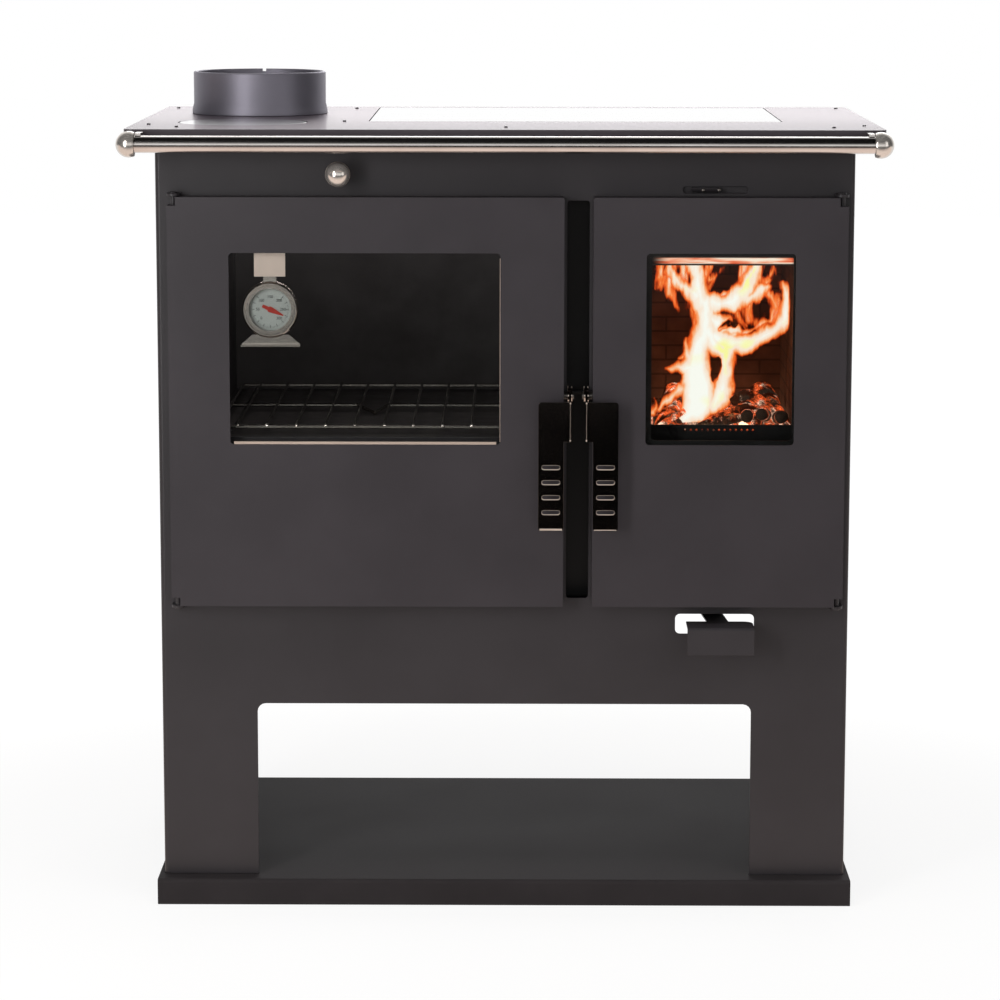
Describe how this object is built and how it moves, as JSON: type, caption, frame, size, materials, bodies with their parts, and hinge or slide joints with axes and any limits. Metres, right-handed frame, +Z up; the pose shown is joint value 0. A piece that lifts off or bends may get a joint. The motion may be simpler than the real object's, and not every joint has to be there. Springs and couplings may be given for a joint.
{
  "type": "wood cookstove",
  "caption": "Free-standing wood-fired cookstove with glazed oven and firebox doors, towel rail, glass-ceramic hob, lid, flue collar and open wood store.",
  "frame": {"origin": "centre of the overall box at floor level", "axes": "+Z up, -Y towards the user (the doors face -Y), +X to the user's right"},
  "size_m": [0.7956, 0.5304, 0.877],
  "materials": {
    "body_paint": "dark charcoal satin stove paint",
    "inner_paint": "matt black heat paint",
    "raw_steel": "plain rolled steel",
    "polished_steel": "polished chrome plate",
    "smoked_chrome": "dark polished plate",
    "rack_wire": "bright plated wire",
    "cast_iron": "rough casting",
    "firebrick": "fired clay, stands in for ceramic",
    "rope_seal": "woven glass-fibre rope",
    "hob_ceramic": "black glass-ceramic, polished",
    "door_glass": "clear heat-proof glass",
    "lens_glass": "clear glass",
    "dial_white": "printed sheet dial",
    "needle_red": "red enamel"
  },
  "bodies": {
    "stove": {"ash_floor": "inner_paint", "ash_pan": "inner_paint", "back_panel": "body_paint", "base_tray": "body_paint", "catch_pin": "raw_steel", "damper_bush": "polished_steel", "divider_wall": "inner_paint", "fire_grate": "cast_iron", "fire_hinge_bottom": "body_paint", "fire_hinge_top": "body_paint", "firebrick_back": "firebrick", "firebrick_left": "firebrick", "firebrick_right": "firebrick", "flue_collar": "body_paint", "front_panel": "body_paint", "grate_shelf": "inner_paint", "hob_frame": "inner_paint", "hob_glass": "hob_ceramic", "latch_channel": "body_paint", "lever_bolt": "raw_steel", "lid_seat": "inner_paint", "log_guard": "inner_paint", "oven_box": "inner_paint", "oven_hinge_bottom": "body_paint", "oven_hinge_top": "body_paint", "oven_rack": "rack_wire", "rail_bracket_left": "polished_steel", "rail_bracket_right": "polished_steel", "rail_cap_left": "polished_steel", "rail_cap_right": "polished_steel", "rail_tube": "polished_steel", "side_panel_left": "body_paint", "side_panel_right": "body_paint", "slider_guide": "raw_steel", "smoke_shelf": "inner_paint", "top_plate": "body_paint"},
    "oven_door": {"oven_door_pan": "body_paint", "oven_door_glass": "door_glass", "oven_door_liner": "inner_paint", "oven_door_gasket": "rope_seal", "oven_handle_pin": "raw_steel", "thermometer_case": "polished_steel", "thermometer_dial": "dial_white", "thermometer_lens": "lens_glass", "thermometer_hanger": "polished_steel"},
    "fire_door": {"fire_door_pan": "body_paint", "fire_door_glass": "door_glass", "fire_door_liner": "inner_paint", "fire_door_gasket": "rope_seal", "fire_handle_pin": "raw_steel"},
    "oven_handle": {"oven_handle": "smoked_chrome"},
    "fire_handle": {"fire_handle": "smoked_chrome"},
    "damper": {"damper_slide": "raw_steel", "damper_rod": "raw_steel", "damper_knob": "polished_steel"},
    "air_slider": {"air_slider": "smoked_chrome"},
    "air_lever": {"air_lever": "body_paint"},
    "round_lid": {"round_lid": "body_paint"},
    "thermometer_needle": {"thermometer_needle": "needle_red"}
  },
  "joints": [
    {"name": "oven_door_hinge", "type": "hinge", "parent": "stove", "child": "oven_door", "pos_m": [-0.3457, -0.19075, 0.54285], "axis": [0, 0, -1], "range_deg": [0, 110]},
    {"name": "fire_door_hinge", "type": "hinge", "parent": "stove", "child": "fire_door", "pos_m": [0.3514, -0.19075, 0.54285], "axis": [0, 0, 1], "range_deg": [0, 110]},
    {"name": "oven_handle_pivot", "type": "hinge", "parent": "oven_door", "child": "oven_handle", "pos_m": [0.0621, -0.19075, 0.5505], "axis": [-1, 0, 0], "range_deg": [0, 35]},
    {"name": "fire_handle_pivot", "type": "hinge", "parent": "fire_door", "child": "fire_handle", "pos_m": [0.0924, -0.19075, 0.5505], "axis": [-1, 0, 0], "range_deg": [0, 35]},
    {"name": "damper_pull", "type": "slide", "parent": "stove", "child": "damper", "axis": [0, -1, 0], "range_m": [0, 0.08]},
    {"name": "air_slider_slide", "type": "slide", "parent": "stove", "child": "air_slider", "axis": [1, 0, 0], "range_m": [-0.008, 0.028]},
    {"name": "air_lever_pivot", "type": "hinge", "parent": "stove", "child": "air_lever", "pos_m": [0.214, -0.02675, 0.317], "axis": [0, 0, 1], "range_deg": [-9, 6.5]},
    {"name": "round_lid_lift", "type": "slide", "parent": "stove", "child": "round_lid", "axis": [0, 0, 1], "range_m": [0, 0.04]},
    {"name": "needle_turn", "type": "hinge", "parent": "oven_door", "child": "thermometer_needle", "pos_m": [-0.2456, -0.18905, 0.6406], "axis": [0, 1, 0], "range_deg": [-250, 20]}
  ]
}
